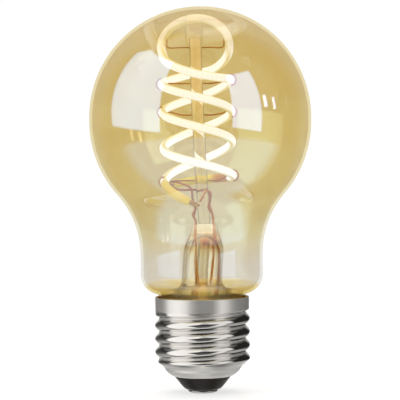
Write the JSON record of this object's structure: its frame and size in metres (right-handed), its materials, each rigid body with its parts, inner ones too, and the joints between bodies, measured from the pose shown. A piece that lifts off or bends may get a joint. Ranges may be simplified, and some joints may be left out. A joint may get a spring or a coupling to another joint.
{
  "type": "smart light bulb",
  "caption": "Smart filament light bulb: amber glass envelope round a coiled LED filament on a glass post, Wi-Fi driver boards inside a metal screw cap",
  "frame": {"origin": "centre of the centre contact's flat underside, on the lamp's axis", "axes": "+Z along the lamp's axis from the cap up to the crown of the glass, -Y the front, +X to the right seen from the front"},
  "size_m": [0.0604, 0.0604, 0.1054],
  "materials": {
    "amber_glass": "clear, amber tinted",
    "stem_glass": "clear",
    "post_glass": "clear rod",
    "filament_phosphor": "silicone coated phosphor",
    "lead_nickel": "drawn wire",
    "lead_sleeve": "woven sleeve",
    "support_wire": "oxidised wire",
    "cap_metal": "nickel plated, satin band above a bright thread",
    "insulator_glass": "black moulded glass",
    "contact_metal": "nickel plated",
    "cement": "baked resin cement",
    "liner_plastic": "insulating sheet",
    "driver_board": "green solder mask",
    "wifi_board": "black solder mask",
    "chip_plastic": "moulded",
    "capacitor_sleeve": "shrink sleeve",
    "film_capacitor": "moulded box",
    "varistor": "dipped",
    "ferrite": "sintered",
    "copper": "bright copper",
    "tinned_steel": "tin plated",
    "resistor_coat": "lacquered",
    "red_wire": "PVC",
    "black_wire": "PVC"
  },
  "bodies": {
    "root": {"glass_envelope": "amber_glass", "stem_flare": "stem_glass", "exhaust_tube": "stem_glass", "filament_post": "post_glass", "led_filament": "filament_phosphor", "filament_terminal_left": "lead_nickel", "filament_terminal_right": "lead_nickel", "lead_in_left_front": "lead_nickel", "lead_in_left_back": "lead_nickel", "lead_in_right_front": "lead_nickel", "lead_in_right_back": "lead_nickel", "outer_lead_left_front": "lead_sleeve", "outer_lead_left_back": "lead_sleeve", "outer_lead_right_front": "lead_sleeve", "outer_lead_right_back": "lead_sleeve", "support_top_left": "support_wire", "support_top_right": "support_wire", "support_upper_left": "support_wire", "support_upper_right": "support_wire", "support_middle_left": "support_wire", "support_middle_right": "support_wire", "support_low_left": "support_wire", "support_low_right": "support_wire", "screw_shell": "cap_metal", "cap_insulator": "insulator_glass", "centre_contact": "contact_metal", "cap_cement": "cement", "cap_liner": "liner_plastic", "driver_board": "driver_board", "bridge_rectifier": "chip_plastic", "driver_chip": "chip_plastic", "bulk_capacitor": "capacitor_sleeve", "film_capacitor": "film_capacitor", "varistor": "varistor", "inductor_core": "ferrite", "inductor_winding": "copper", "wifi_board": "wifi_board", "wifi_shield_can": "tinned_steel", "wifi_chip": "chip_plastic", "antenna": "copper", "board_header": "chip_plastic", "fuse_resistor": "resistor_coat", "live_wire": "red_wire", "neutral_wire": "black_wire"}
  },
  "joints": []
}
